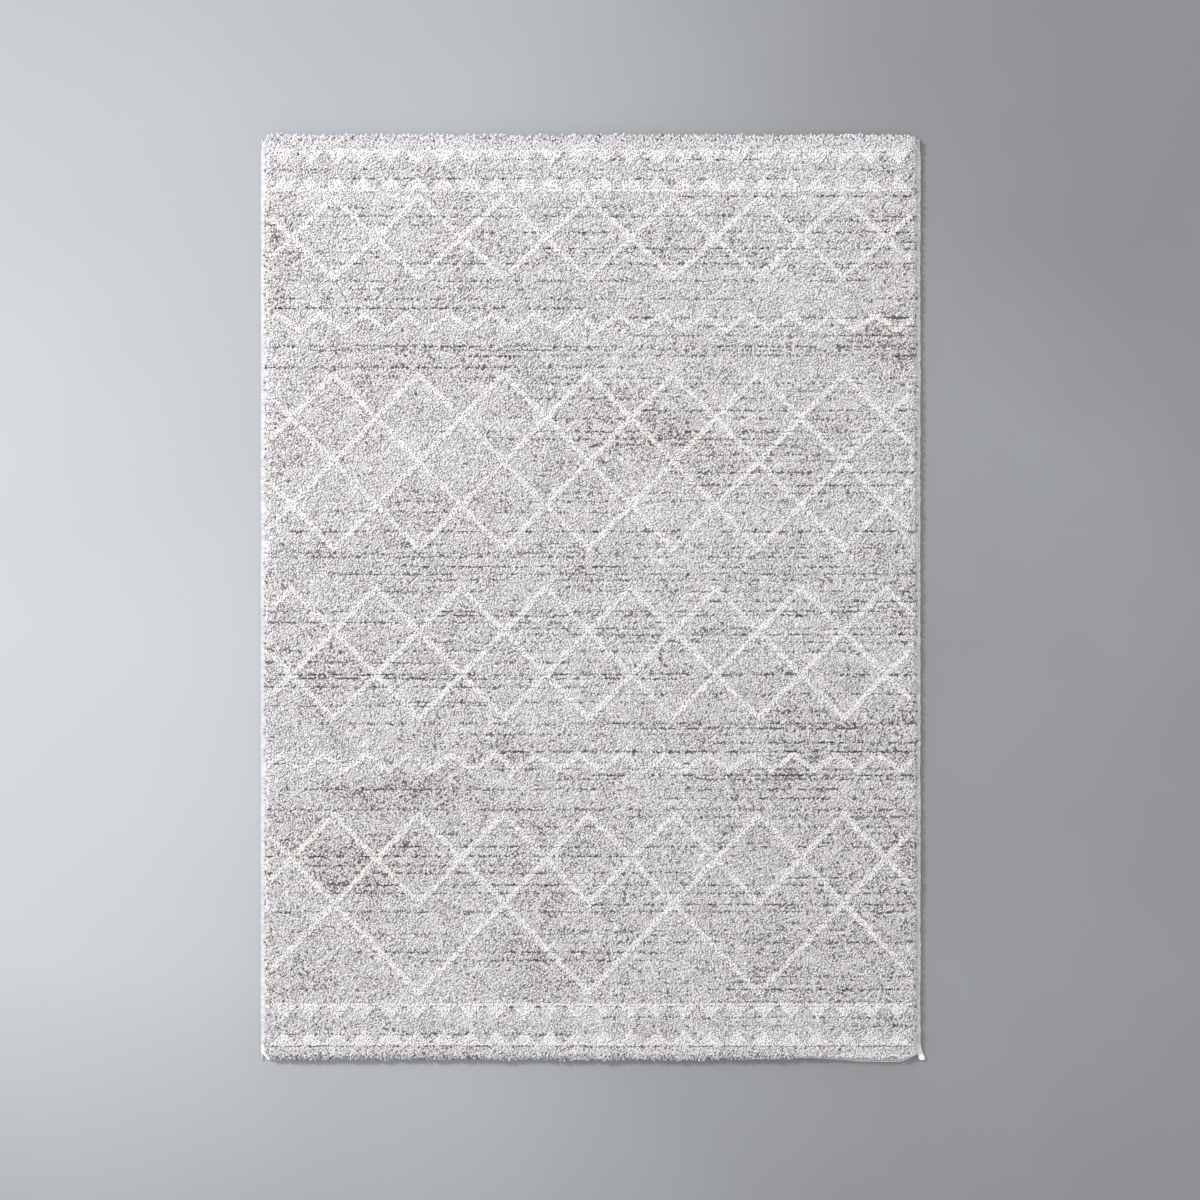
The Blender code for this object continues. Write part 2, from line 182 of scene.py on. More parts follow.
def soft_noise(x, y, size, seed, stretch=1.0):
    """Random values from -1 to 1 that change softly over a size, and over stretch sizes in x."""
    cells = np.random.default_rng(seed).uniform(-1, 1, (256, 256))
    u, v = np.asarray(x) / (size * stretch) + 97.3, np.asarray(y) / size + 61.7
    i, j = np.floor(u).astype(int), np.floor(v).astype(int)
    s, t = smooth_step(u - i), smooth_step(v - j)
    low = cells[i % 256, j % 256] * (1 - s) + cells[(i + 1) % 256, j % 256] * s
    high = cells[i % 256, (j + 1) % 256] * (1 - s) + cells[(i + 1) % 256, (j + 1) % 256] * s
    return low * (1 - t) + high * t


# ---- meshes -------------------------------------------------------------------------------------


def build_mesh(name, points, corners, sizes):
    """A mesh from points, the points' numbers round each face, and the faces' corner counts."""
    mesh = bpy.data.meshes.new(name)
    mesh.vertices.add(len(points))
    mesh.vertices.foreach_set("co", np.ascontiguousarray(points, np.float32).ravel())
    mesh.loops.add(len(corners))
    mesh.loops.foreach_set("vertex_index", np.ascontiguousarray(corners, np.int32))
    mesh.polygons.add(len(sizes))
    starts = np.concatenate(([0], np.cumsum(sizes)[:-1]))
    mesh.polygons.foreach_set("loop_start", starts.astype(np.int32))
    mesh.update(calc_edges=True)
    mesh.shade_smooth()
    return mesh


def add_map(mesh, name, places):
    layer = mesh.uv_layers.new(name=name)
    layer.data.foreach_set("uv", np.ascontiguousarray(places, np.float32).ravel())


def add_colours(mesh, name, colours):
    """A colour for each point of the mesh."""
    layer = mesh.color_attributes.new(name=name, type="BYTE_COLOR", domain="POINT")
    rgba = np.ones((len(colours), 4), np.float32)
    rgba[:, :3] = np.clip(colours, 0, 1)
    layer.data.foreach_set("color", rgba.ravel())


def add_piece(mesh, material, slot_name, *nodes):
    """Puts a mesh in the scene as a piece of the rug that stands for some CAD nodes."""
    piece = bpy.data.objects.new(mesh.name, mesh)
    bpy.context.scene.collection.objects.link(piece)
    mesh.materials.append(material)
    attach(piece, "root")
    if nodes:
        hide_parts(*nodes)
    return piece


def skin(name, rings):
    """A closed tube through rings of points, an array of (ring, place round it, xyz)."""
    count, around = rings.shape[:2]
    ring, place = np.meshgrid(np.arange(count - 1), np.arange(around), indexing="ij")
    after = (place + 1) % around
    here, there = ring * around, (ring + 1) * around
    quads = np.stack([here + place, here + after, there + after, there + place], -1)
    points = np.concatenate([rings.reshape(-1, 3), rings[[0, -1]].mean(1)])
    k = np.arange(around)
    k_after = (k + 1) % around
    low, high = count * around, count * around + 1
    last = (count - 1) * around
    first_cap = np.stack([k_after, k, np.full(around, low)], -1)
    last_cap = np.stack([last + k, last + k_after, np.full(around, high)], -1)
    corners = np.concatenate([quads.ravel(), first_cap.ravel(), last_cap.ravel()])
    sizes = np.repeat([4, 3], [(count - 1) * around, 2 * around])
    return build_mesh(name, points, corners, sizes)


# ---- the camera, the floor and the light --------------------------------------------------------


def make_camera():
    data = bpy.data.cameras.new("camera")
    data.lens, data.sensor_width = LENS_MM, SENSOR_MM
    data.clip_end = VIEW_REACH
    camera = bpy.data.objects.new("camera", data)
    height = VIEW_WIDTH * LENS_MM / SENSOR_MM + PILE_TOP
    camera.location = (*VIEW_CENTRE, height)
    bpy.context.scene.collection.objects.link(camera)
    bpy.context.scene.camera = camera


def make_light():
    data = bpy.data.lights.new("key", "AREA")
    data.shape, data.size, data.energy = "DISK", KEY_SIZE, KEY_POWER
    key = bpy.data.objects.new("key", data)
    key.location = KEY_PLACE
    key.rotation_mode = "QUATERNION"
    key.rotation_quaternion = key.location.to_track_quat("Z", "Y")
    bpy.context.scene.collection.objects.link(key)
    world = bpy.data.worlds.new("studio")
    world.use_nodes = True
    background = world.node_tree.nodes["Background"]
    background.inputs["Color"].default_value = FILL_COLOUR
    background.inputs["Strength"].default_value = FILL_LIGHT
    bpy.context.scene.world = world
    bpy.context.scene.view_settings.view_transform = "Standard"


# ---- materials ----------------------------------------------------------------------------------


class Nodes:
    """A short way to write a material's nodes."""

    def __init__(self, name, roughness, **values):
        self.material = bpy.data.materials.new(name)
        self.material.use_nodes = True
        self.tree = self.material.node_tree
        self.shader = self.tree.nodes["Principled BSDF"]
        self.shader.inputs["Roughness"].default_value = roughness
        for socket, value in values.items():
            self.shader.inputs[socket.replace("_", " ")].default_value = value

    def add(self, kind, inputs=(), **settings):
        """A node whose inputs are values or other nodes' outputs, by name or number."""
        node = self.tree.nodes.new("ShaderNode" + kind)
        for key, value in settings.items():
            setattr(node, key, value)
        for key, value in dict(inputs).items():
            self.set(node.inputs[key], value)
        return node

    def set(self, socket, value):
        if isinstance(value, bpy.types.NodeSocket):
            self.tree.links.new(value, socket)
        else:
            socket.default_value = value

    def math(self, operation, *values):
        return self.add("Math", enumerate(values), operation=operation).outputs[0]

    def mix(self, share, a, b):
        """The blend of two colours, each a socket or a tuple of four."""
        node = self.add("Mix", {0: share, 6: a, 7: b}, data_type="RGBA")
        return node.outputs[2]

    def grey(self, value):
        return self.add("CombineColor", {0: value, 1: value, 2: value}).outputs[0]

    def times(self, a, b):
        """The product of two colours."""
        inputs = {0: 1.0, 6: a, 7: b}
        node = self.add("Mix", inputs, data_type="RGBA", blend_type="MULTIPLY")
        return node.outputs[2]

    def noise(self, scale, detail=2.0, vector=None):
        inputs = {"Scale": scale, "Detail": detail}
        if vector is not None:
            inputs["Vector"] = vector
        return self.add("TexNoise", inputs).outputs[0]

    def attribute(self, name):
        return self.add("Attribute", attribute_name=name).outputs["Color"]

    def place(self, uv=None):
        """Coordinates: a UV map by name, or the piece's own in metres."""
        if uv:
            return self.add("UVMap", uv_map=uv).outputs[0]
        return self.add("TexCoord").outputs["Object"]

    def split(self, vector):
        return self.add("SeparateXYZ", {0: vector}).outputs

    def soft_normal(self, softness):
        """The normal turned towards the piece's own +Z, since light spreads among the fibres."""
        spaces = {"vector_type": "NORMAL", "convert_from": "OBJECT", "convert_to": "WORLD"}
        up = self.add("VectorTransform", {0: (0, 0, 1)}, **spaces).outputs[0]
        own = self.add("NewGeometry").outputs["Normal"]
        inputs = {0: up, 1: (softness,) * 3, 2: own}
        turned = self.add("VectorMath", inputs, operation="MULTIPLY_ADD").outputs[0]
        return self.add("VectorMath", {0: turned}, operation="NORMALIZE").outputs[0]

    def finish(self, colour, height=None, depth=0.0003, strength=1.0, normal=None):
        self.set(self.shader.inputs["Base Color"], colour)
        if height is not None:
            bump = self.add("Bump", {"Strength": strength, "Distance": depth, "Height": height})
            if normal is not None:
                self.set(bump.inputs["Normal"], normal)
            self.set(self.shader.inputs["Normal"], bump.outputs[0])
        return self.material


def waves(n, value, pitch):
    """Crests from 0 to 1 along a coordinate in metres."""
    turned = n.math("MULTIPLY", value, 2 * math.pi / pitch)
    return n.math("MULTIPLY_ADD", n.math("SINE", turned), 0.5, 0.5)


def yarn_material(name, softness):
    """Two-ply yarn: its colours come from the mesh, with painted shade in them, and the plies twist
    round it.
    """
    n = Nodes(name, 0.88, Sheen_Weight=0.03, Sheen_Roughness=0.45)
    u, v, _ = n.split(n.place("yarn"))
    turned = n.math("MULTIPLY_ADD", u, 2.0, v)
    ply = waves(n, turned, 1.0)
    fibres = n.noise(900.0, 2.0, n.place())
    colour = n.mix(ply, n.attribute("ply_a"), n.attribute("ply_b"))
    shade = n.math("MULTIPLY_ADD", fibres, 0.22, 0.88)
    tinted = n.times(colour, n.grey(shade))
    groove = n.math("ABSOLUTE", n.math("SUBTRACT", ply, 0.5))
    height = n.math("ADD", n.math("MULTIPLY", groove, 1.6), n.math("MULTIPLY", fibres, 0.3))
    return n.finish(tinted, height, 0.0005, 0.6, n.soft_normal(softness))


def bed_material():
    """The matted foot of the pile; its colour, with painted shade in it, comes from the mesh."""
    n = Nodes("matted_pile", 0.95)
    blotch = n.noise(260.0, 3.0, n.place())
    light = n.math("MULTIPLY_ADD", blotch, 0.5, 0.7)
    return n.finish(n.times(n.attribute("depth"), n.grey(light)), blotch, 0.002, 0.8)


def wrap_material(name):
    """The serging's yarn; its colours come from the mesh."""
    n = Nodes(name, 0.85, Sheen_Weight=0.12, Sheen_Roughness=0.4)
    fibres = n.noise(1400.0, 2.0, n.place())
    blotch = n.noise(70.0, 3.0, n.place())
    light = n.math("MULTIPLY_ADD", fibres, 0.3, n.math("MULTIPLY_ADD", blotch, 0.3, 0.70))
    return n.finish(n.times(n.attribute("wrap"), n.grey(light)), fibres, 0.0003, 0.5)


def cloth_material(name, pale, deep, rib, pitch, roughness=0.85):
    """Woven tape or cloth: ribs one way, crossed by finer threads."""
    n = Nodes(name, roughness, Sheen_Weight=0.15)
    x, y, _ = n.split(n.place())
    warp, weft = waves(n, x, rib), waves(n, y, pitch)
    cross = n.math("MULTIPLY", warp, weft)
    blotch = n.noise(40.0, 3.0, n.place())
    colour = n.mix(n.math("MULTIPLY_ADD", cross, 0.45, n.math("MULTIPLY", blotch, 0.5)), deep, pale)
    return n.finish(colour, cross, 0.0004, 0.7)


def latex_material():
    """Thin latex over the weave: rows of yarn backs show through as ribs."""
    n = Nodes("latex", 0.62)
    x, y, _ = n.split(n.place())
    ribs = n.math("MULTIPLY", waves(n, x, 0.0084), waves(n, y, 0.0046))
    blotch = n.noise(14.0, 5.0, n.place())
    speck = n.noise(420.0, 2.0, n.place())
    tone = n.math("MULTIPLY_ADD", ribs, 0.35, n.math("MULTIPLY", blotch, 0.65))
    colour = n.mix(tone, (0.58, 0.55, 0.49, 1), (0.80, 0.78, 0.73, 1))
    height = n.math("MULTIPLY_ADD", speck, 0.25, ribs)
    return n.finish(colour, height, 0.0006, 0.7)


def thread_material(name, colour):
    n = Nodes(name, 0.6, Sheen_Weight=0.2)
    twist = n.noise(2200.0, 1.0, n.place())
    deep = tuple(0.55 * c for c in colour[:3]) + (1,)
    return n.finish(n.mix(twist, deep, colour), twist, 0.0001, 0.5)


def painted_shade_floor_material():
    """Pale, smooth concrete, with painted shade for the light's falloff: darker to the right, and a
    little to the near side and far right.
    """
    n = Nodes("floor", 0.7)
    x, y, _ = n.split(n.place())
    # Painted shade: the share of the darker colour grows to the right, to the near side and to the
    # far right corner, standing in for the light's falloff; the cloud below is the concrete's own
    # mottling
    across = {0: x, 1: -1.35, 2: 0.95}
    side = n.add("MapRange", across, interpolation_type="SMOOTHSTEP").outputs[0]
    far = n.math("MULTIPLY", y, n.math("MULTIPLY_ADD", y, 0.19, 0.12))
    pale = n.math("POWER", n.math("SUBTRACT", 1.0, side), 2.0)
    side = n.math("MULTIPLY_ADD", pale, far, side)
    near = n.add("MapRange", {0: y, 1: -0.9, 2: -1.5, 3: 0.0, 4: 0.34}).outputs[0]
    near = n.math("MULTIPLY", near, n.math("MULTIPLY_ADD", side, -0.75, 1.0))
    side = n.math("MULTIPLY_ADD", side, 0.836, near)
    to_corner = n.math("ADD", x, y)
    corner = n.add("MapRange", {0: to_corner, 1: 1.5, 2: 2.8, 3: 0.0, 4: 0.26}).outputs[0]
    side = n.math("ADD", side, corner)
    cloud = n.noise(0.9, 4.0, n.place())
    share = n.math("ADD", side, n.math("MULTIPLY_ADD", cloud, 0.36, -0.18))
    return n.finish(n.mix(n.add("Clamp", {0: share}).outputs[0], FLOOR_PALE, FLOOR_PAINTED_SHADE))


def make_floor():
    corners = np.array([(-1, -1, 0), (1, -1, 0), (1, 1, 0), (-1, 1, 0)]) * FLOOR_HALF
    mesh = build_mesh("floor", corners, np.arange(4), np.array([4]))
    floor = bpy.data.objects.new("floor", mesh)
    mesh.materials.append(painted_shade_floor_material())
    bpy.context.scene.collection.objects.link(floor)


# ---- the ivory pattern --------------------------------------------------------------------------


def ivory_map():
    """A map of small cells: 0 where the pile is grey, and else 1 + the number of the ivory node."""
    shape = [int(2 * half / MAP_CELL) + 1 for half in (PILE_X, FIELD_HIGH.y)]
    owner = np.zeros(shape, np.int8)
    for number, node in enumerate(IVORY_NODES, 1):
        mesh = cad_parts[node].data
        for face in mesh.polygons:
            if face.normal.z > 0.9:
                points = np.array([mesh.vertices[i].co.xy for i in face.vertices])
                draw_triangle(owner, points, number)
    return owner


def draw_triangle(owner, points, number):
    """Sets the map's cells inside a triangle; it runs anticlockwise."""
    cells = (points + (PILE_X, FIELD_HIGH.y)) / MAP_CELL
    low = np.maximum(np.floor(cells.min(0)).astype(int), 0)
    high = np.minimum(np.ceil(cells.max(0)).astype(int) + 1, owner.shape)
    x, y = np.mgrid[low[0] : high[0], low[1] : high[1]]
    inside = np.ones(x.shape, bool)
    for (x0, y0), (x1, y1) in zip(cells, np.roll(cells, -1, axis=0)):
        inside &= (x1 - x0) * (y - y0) - (y1 - y0) * (x - x0) >= -0.5
    owner[low[0] : high[0], low[1] : high[1]][inside] = number


def owner_at(owner, x, y):
    """The map's number at some points, read with a soft wobble so that no line is ruled."""
    broad, fine = LINE_WOBBLE, 0.6 * LINE_WOBBLE
    wobble_x = broad * soft_noise(x, y, 0.022, 11) + fine * soft_noise(x, y, 0.009, 12)
    wobble_y = broad * soft_noise(x, y, 0.026, 13) + fine * soft_noise(x, y, 0.010, 14)
    i = ((x + wobble_x + PILE_X) / MAP_CELL).astype(int)
    j = ((y + wobble_y + FIELD_HIGH.y) / MAP_CELL).astype(int)
    return owner[np.clip(i, 0, owner.shape[0] - 1), np.clip(j, 0, owner.shape[1] - 1)]


def beside_ivory(owner, x, y):
    """True where an ivory line is within a tuft's reach."""
    steps = (-BESIDE_REACH, BESIDE_REACH)
    return np.any([owner_at(owner, x + a, y + b) > 0 for a in steps for b in steps], 0)


# ---- the pile -----------------------------------------------------------------------------------


def hem_sag(x):
    """How far the bottom end's fold sags out of line towards the right."""
    return SAG * smooth_step((x - SAG_X) / 0.20)


def hem_shift(x):
    """How far inwards the bottom end's fold strays: it sags, and turns up at the corners."""
    right = RIGHT_TURN * smooth_step((x - RIGHT_TURN_X) / 0.055)
    left = LEFT_TURN * smooth_step((LEFT_TURN_X - x) / 0.024)
    return right + left - hem_sag(x)


def spill(x, end):
    """How far the pile leans out past the fold at an end."""
    if end > 0:
        return TOP_SPILL + 0.0018 * soft_noise(x, 0 * x, 0.035, 21)
    wavy = BOTTOM_SPILL + 0.0050 * soft_noise(x, 0 * x, 0.045, 22)
    drawn_back = smooth_step((x - BARE_X) / 0.03)
    return wavy * (1 - drawn_back) - (0.0015 + 0.7 * hem_sag(x)) * drawn_back


def tuft_roots(owner):
    """Places of the tufts, and the number of the row that each is in.

    The ivory tufts stand twice as close as the grey, and so do those at the ends, which fan out.
    """
    rows = int(2 * HEM_Y / ROW_PITCH)
    columns = int(2 * PILE_X / TUFT_PITCH)
    row, column = np.meshgrid(np.arange(rows), np.arange(columns), indexing="ij")
    x = (column - (columns - 1) / 2 + 0.5 * (row % 2) - 0.25) * TUFT_PITCH
    y = (row - (rows - 1) / 2) * ROW_PITCH
    extra = (row < END_ROWS) | (row >= rows - END_ROWS)
    extra |= owner_at(owner, x + TUFT_PITCH / 2, y + ROW_PITCH / 2) > 0
    x = np.concatenate([x.ravel(), x[extra] + TUFT_PITCH / 2])
    y = np.concatenate([y.ravel(), y[extra] + ROW_PITCH / 2])
    row = np.concatenate([row.ravel(), row[extra]])
    x = x + rng.normal(0, ROOT_JITTER, len(x))
    y = y + rng.normal(0, ROOT_JITTER, len(y))
    over_x = np.maximum(np.abs(x) - (PILE_X - 0.001 - PILE_CORNER), 0)
    top_line = HEM_Y - 0.002
    bottom_line = top_line - hem_shift(x) + np.minimum(spill(x, -1), 0)
    over_y = np.maximum(np.abs(y) - (np.where(y > 0, top_line, bottom_line) - PILE_CORNER), 0)
    kept = np.hypot(over_x, over_y) < PILE_CORNER
    return x[kept], y[kept], row[kept]


def brushed_up(x, y):
    """0 where the pile lies smooth, 1 where it stands open."""
    share = 0.42 - 0.16 * y / HEM_Y
    share = share + 0.30 * soft_noise(x, y, 0.16, 31, 1.8) + 0.25 * soft_noise(x, y, 0.045, 32, 1.6)
    for (cx, cy), (hx, hy), strength in BRUSHED:
        reach = np.hypot((x - cx) / hx, (y - cy) / hy)
        share = share + 1.25 * strength * (1 - smooth_step(reach - 0.35))
    return np.clip(share, 0, 1)


def partings():
    """Rows where the pile has parted: (height up the rug, left end, right end, strength)."""
    found, y = [], -HEM_Y + 0.03
    while y < HEM_Y - 0.03:
        start = rng.uniform(-1.2, 0.4)
        run = rng.uniform(0.6, 2.2)
        found.append((y, start, start + run, rng.uniform(0.55, 1.0)))
        y += rng.uniform(0.008, 0.032)
    return found


def parting_lean(x, y):
    """The lean away from the nearest parted row, and how close it is, 0 to 1."""
    lean, close = np.zeros_like(y), np.zeros_like(y)
    for place, left, right, strength in PARTINGS:
        near = np.abs(y - place) < 0.008
        if not near.any():
            continue
        own_x, seed = x[near], int(1e4 * (place + 2))
        along = smooth_step((own_x - left) / 0.05) * smooth_step((right - own_x) / 0.05)
        patchy = smooth_step(0.72 + soft_noise(own_x, 0 * own_x, 0.014, seed))
        off = y[near] - place - 0.0015 * soft_noise(own_x, 0 * own_x, 0.12, seed + 1)
        share = strength * along * patchy * np.exp(-((off / PART_WIDTH) ** 2))
        lean[near] += np.sign(off) * PART_LEAN * share
        close[near] = np.maximum(close[near], share)
    return lean, close


def pick_yarn(yarns, score):
    """Colours for scores from 0 to 1, where each yarn takes its share of the range."""
    shares = np.cumsum([share for _, share in yarns])
    number = np.minimum(np.searchsorted(shares / shares[-1], score), len(yarns) - 1)
    return np.array([colour for colour, _ in yarns])[number]


def tuft_colours(x, row, ivory, open_share, part_close):
    """The two plies' colours for each tuft."""
    streak = soft_noise(x, row * ROW_PITCH, ROW_PITCH * 1.1, 41, 30.0)
    streak = streak + 0.6 * soft_noise(x, row * ROW_PITCH, ROW_PITCH * 3, 42, 40.0)
    score = rng.uniform(0, 1, len(x)) + 0.07 * streak
    # Painted shade: tufts take lighter yarns where the pile lies smooth and darker ones where it is
    # brushed up, and darker still beside a parting, standing in for the shade down in the opened
    # pile
    score = score + 0.34 * (open_share - 0.5) + 0.56 * part_close
    plies = []
    for _ in range(2):
        grey = pick_yarn(GREY_YARNS, np.clip(score + rng.normal(0, 0.12, len(x)), 0, 1))
        pale = pick_yarn(IVORY_YARNS, rng.uniform(0, 1, len(x)))
        plies.append(np.where(ivory[:, None], pale, grey))
    plies = [ply * (1 - open_share[:, None] * np.array(BRUSHED_TINT)) for ply in plies]
    hue = rng.normal(0, 1, (len(x), 1)) * np.array(HUE_SPREAD)
    warmth = rng.normal(0, 1, (len(x), 1)) * np.array(WARMTH_SPREAD)
    light = rng.normal(1.0, LIGHT_SPREAD, (len(x), 1))
    mixed = rng.uniform(0.0, 0.6, (len(x), 1))
    plies[1] = plies[1] * (1 - mixed) + plies[0] * mixed
    return [np.clip((ply + hue + warmth) * light, 0.02, 0.97) for ply in plies]


def tuft_shapes(x, y, open_share):
    """Each tuft's lean, bend height, start height and thickness, and how near a parting it is."""
    part_lean, part_close = parting_lean(x, y)
    angle = rng.uniform(0, 2 * math.pi, len(x))
    reach = (TUFT_REACH - LESS_REACH * open_share) * rng.uniform(0.4, 1.5, len(x))
    lean_x = reach * np.cos(angle) + 0.0010 * soft_noise(x, y, 0.07, 51)
    lean_y = reach * np.sin(angle) - NAP + 0.0010 * soft_noise(x, y, 0.06, 52) + part_lean
    lumps = 0.0010 * soft_noise(x, y, 0.030, 53) + 0.0006 * soft_noise(x, y, 0.011, 54)
    top = PILE_TOP - BEND_DEPTH + lumps + rng.normal(0, 0.0006, len(x))
    top = top - PART_DEPTH * part_close - 0.0004 * open_share
    side_gap = PILE_X - np.abs(x)
    end_gap = np.where(y > 0, HEM_Y - y, HEM_Y - hem_shift(x) + y)
    past = np.where(y > 0, spill(x, 1), spill(x, -1))
    push = np.exp(-np.maximum(end_gap, 0) / END_PUSH)
    lean_y = lean_y * (1 - 0.75 * push) + np.sign(y) * (past + 0.002) * push
    side_push = np.exp(-side_gap / SIDE_PUSH)
    lean_x = lean_x * (1 - 0.5 * side_push) + np.sign(x) * SIDE_LEAN * side_push
    edge = np.minimum(side_gap, end_gap)
    drop = np.clip(1 - edge / END_DROP, 0, 1)
    top = top - EDGE_FALL * drop**2
    outermost = smooth_step((0.006 - end_gap) / 0.004)
    top = top - DROOP * outermost * rng.uniform(0, 1, len(x)) ** 1.5
    start = BED_TOP - ROOT_DEPTH
    start = start - (BED_TOP - PILE_BOTTOM - ROOT_DEPTH) * smooth_step(1.5 * drop)
    thick = YARN_RADIUS * rng.uniform(0.80, 1.20, len(x))
    return np.stack([lean_x, lean_y], -1), top, start, thick, part_close


def tuft_points(x, y, lean, top, start, thick):
    """The points of all tufts: an array of (tuft, point, xyz), rings first and the tip last."""
    count = len(x)
    root = np.stack([x, y, start], -1)
    flat = np.concatenate([lean, np.zeros((count, 1))], -1)
    length = np.linalg.norm(lean, axis=1)
    bend = root + BEND_PLACE * flat
    bend[:, 2] = top + 0.15 * (top - start)
    tip = root + flat
    tip[:, 2] = top - rng.uniform(0.0, 0.35, count) * length
    across = np.stack([-lean[:, 1], lean[:, 0], np.zeros(count)], -1)
    across /= np.maximum(length, 1e-6)[:, None]
    phase = rng.uniform(0, 2 * math.pi, count)
    turn = YARN_TWIST * rng.uniform(0.6, 1.4, count)
    rings = []
    for t in (*RING_PLACES, 1.0):
        centre = (1 - t) ** 2 * root + 2 * t * (1 - t) * bend + t * t * tip
        along = 2 * (1 - t) * (bend - root) + 2 * t * (tip - bend)
        along /= np.linalg.norm(along, axis=1)[:, None]
        if t == 1.0:
            rings.append((centre + along * thick[:, None] * 0.5)[:, None])
            break
        up = np.cross(along, across)
        radius = thick * (0.85 + 0.35 * t - 0.35 * t * t)
        angles = phase[:, None] + (turn * t)[:, None]
        angles = angles + np.arange(SECTION_SIDES) * 2 * math.pi / SECTION_SIDES
        ring = centre[:, None] + radius[:, None, None] * (
            np.cos(angles)[..., None] * across[:, None] + np.sin(angles)[..., None] * up[:, None]
        )
        rings.append(ring)
    return np.concatenate(rings, 1)


def tuft_faces():
    """One tuft's faces: corners, corner counts, and the corners' places (round, along) on it."""
    corners, sizes, places = [], [], []
    n = SECTION_SIDES
    levels = (*RING_PLACES, 1.0)
    for ring in range(len(RING_PLACES) - 1):
        for k in range(n):
            after = (k + 1) % n
            low, high = ring * n, (ring + 1) * n
            corners += [low + k, low + after, high + after, high + k]
            places += [(k / n, levels[ring]), ((k + 1) / n, levels[ring])]
            places += [((k + 1) / n, levels[ring + 1]), (k / n, levels[ring + 1])]
            sizes.append(4)
    last = (len(RING_PLACES) - 1) * n
    for k in range(n):
        corners += [last + k, last + (k + 1) % n, last + n]
        places += [(k / n, levels[-2]), ((k + 1) / n, levels[-2]), ((k + 0.5) / n, 1.0)]
        sizes.append(3)
    return np.array(corners), np.array(sizes), np.array(places)


FACE_CORNERS, FACE_SIZES, CORNER_PLACES = tuft_faces()
TUFT_TRIANGLES = int((FACE_SIZES - 2).sum())


def tuft_mesh(name, points, plies, foot_painted_shade):
    """One mesh of many tufts, with a cell of the OFBake UV map for each."""
    count, each = points.shape[:2]
    corners = (np.arange(count)[:, None] * each + FACE_CORNERS).ravel()
    mesh = build_mesh(name, points.reshape(-1, 3), corners, np.tile(FACE_SIZES, count))
    side = math.ceil(math.sqrt(count))
    cell = np.stack([np.arange(count) % side, np.arange(count) // side], -1)
    baked = (cell[:, None] + 0.07 + 0.86 * CORNER_PLACES) / side
    add_map(mesh, "OFBake", baked.reshape(-1, 2))
    middle = points[:, : len(RING_PLACES) * SECTION_SIDES]
    middle = middle.reshape(count, -1, SECTION_SIDES, 3).mean(2)
    length = np.linalg.norm(np.diff(middle, axis=1), axis=-1).sum(1) * 1.2
    turned = np.tile(CORNER_PLACES[None], (count, 1, 1))
    turned[..., 1] *= (length / PLY_PITCH)[:, None]
    add_map(mesh, "yarn", turned.reshape(-1, 2))
    # Painted shade: each tuft's colour is darkened at its foot, and a little above it, where the
    # pile's depth would shade it
    depth = np.repeat([foot_painted_shade, 0.96, 1.0, 1.0], [SECTION_SIDES] * 3 + [1])
    for layer, colours in zip(("ply_a", "ply_b"), plies):
        add_colours(mesh, layer, (colours[:, None] * depth[None, :, None]).reshape(-1, 3))
    return mesh


def make_pile(owner):
    """All tufts: the ivory in a piece for each motif, the grey in strips across the rug."""
    x, y, row = tuft_roots(owner)
    number = owner_at(owner, x, y)
    tooth_numbers = [i for i, node in enumerate(IVORY_NODES, 1) if node.startswith("tooth")]
    teeth = np.isin(number, tooth_numbers)
    number[~teeth & (rng.uniform(0, 1, len(x)) < FADED_SHARE)] = 0
    ivory = number > 0
    open_share = brushed_up(x, y)
    lean, top, start, thick, part_close = tuft_shapes(x, y, open_share)
    kinds = [teeth, ivory, beside_ivory(owner, x, y)]
    lean = lean * np.select(kinds, [TOOTH_LEAN, IVORY_LEAN, BESIDE_LEAN], 1.0)[:, None]
    top = top + IVORY_RISE * ivory
    plies = tuft_colours(x, row, ivory, open_share, part_close)
    points = tuft_points(x, y, lean, top, start, thick)
    pieces = []

    def add_tufts(name, own, foot_painted_shade, yarn, slot, node):
        mesh = tuft_mesh(name, points[own], [ply[own] for ply in plies], foot_painted_shade)
        pieces.append(add_piece(mesh, yarn, slot, node))

    ivory_yarn = yarn_material("ivory_yarn", SOFTNESS)
    grey_yarn = yarn_material("grey_yarn", SOFTNESS)
    end_yarn = yarn_material("end_yarn", END_SOFTNESS)
    for i, node in enumerate(IVORY_NODES, 1):
        add_tufts(node + "_tufts", number == i, IVORY_FOOT_PAINTED_SHADE, ivory_yarn, "ivory_pile", node)
    at_end = ~ivory & (HEM_Y - np.abs(y) < END_FACE)
    for name, own in (("top", at_end & (y > 0)), ("bottom", at_end & (y < 0))):
        add_tufts("end_tufts_" + name, own, GREY_FOOT_PAINTED_SHADE, end_yarn, "grey_pile", "field_pile")
    grey = np.flatnonzero(~ivory & ~at_end)
    strips = math.ceil(len(grey) * TUFT_TRIANGLES / MOST_TRIANGLES)
    for i, own in enumerate(np.array_split(grey, strips), 1):
        add_tufts(f"grey_tufts_{i:02d}", own, GREY_FOOT_PAINTED_SHADE, grey_yarn, "grey_pile", "field_pile")
    return pieces


